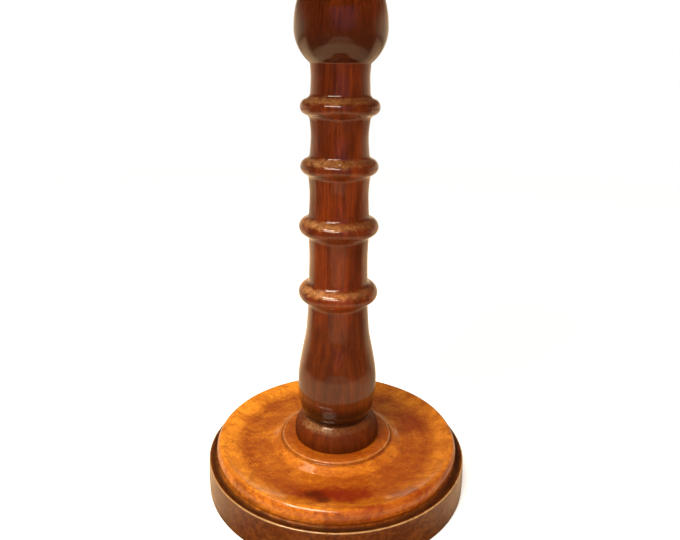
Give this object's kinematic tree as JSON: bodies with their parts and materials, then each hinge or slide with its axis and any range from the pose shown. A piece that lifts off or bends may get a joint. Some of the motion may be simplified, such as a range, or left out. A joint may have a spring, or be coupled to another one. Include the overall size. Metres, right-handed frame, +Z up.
{
  "type": "tilt top table",
  "caption": "Pedestal table on a round moulded base with a ring-turned column; a round top tips up to vertical on a hinge block and locks with a spring catch.",
  "frame": {"origin": "on the floor, under the middle of the column", "axes": "+Z up along the column; -Y is the front, where the catch is; the tilt hinge runs along X near the back"},
  "size_m": [0.4499, 0.45, 0.634],
  "materials": {
    "base_wood": "glossy varnish over a warm red-brown stain",
    "column_wood": "glossy varnish over a dark red-brown stain",
    "top_wood": "glossy varnish over a red-brown stain",
    "under_wood": "thin dull stain",
    "raw_wood": "bare wood",
    "brass": "aged and lightly tarnished",
    "steel": "dull"
  },
  "bodies": {
    "pedestal": {"base_plinth": "base_wood", "base_disc": "base_wood", "base_screws": "steel", "column": "column_wood", "column_foot_wedge": "raw_wood", "column_head_wedge": "raw_wood", "top_block": "under_wood", "pivot_pin_left": "steel", "pivot_pin_right": "steel", "keeper_plate": "brass", "keeper_screws": "brass"},
    "top": {"table_top": "top_wood", "bearer_left": "under_wood", "bearer_right": "under_wood", "bearer_screws_left": "steel", "bearer_screws_right": "steel", "catch_plate": "brass", "catch_plate_screws": "brass", "catch_case": "brass", "catch_rivets": "brass"},
    "bolt": {"catch_bolt": "brass", "catch_knob": "brass", "catch_spring": "steel"}
  },
  "joints": [
    {"name": "top_tilt", "type": "hinge", "parent": "pedestal", "child": "top", "pos_m": [0, 0.05, 0.6], "axis": [-1, 0, 0], "range_deg": [0, 90]},
    {"name": "catch_slide", "type": "slide", "parent": "top", "child": "bolt", "axis": [0, 1, 0], "range_m": [0, 0.008], "stiffness_N_per_m": 500, "springref_m": 0.012, "deforming": ["catch_spring"]}
  ]
}
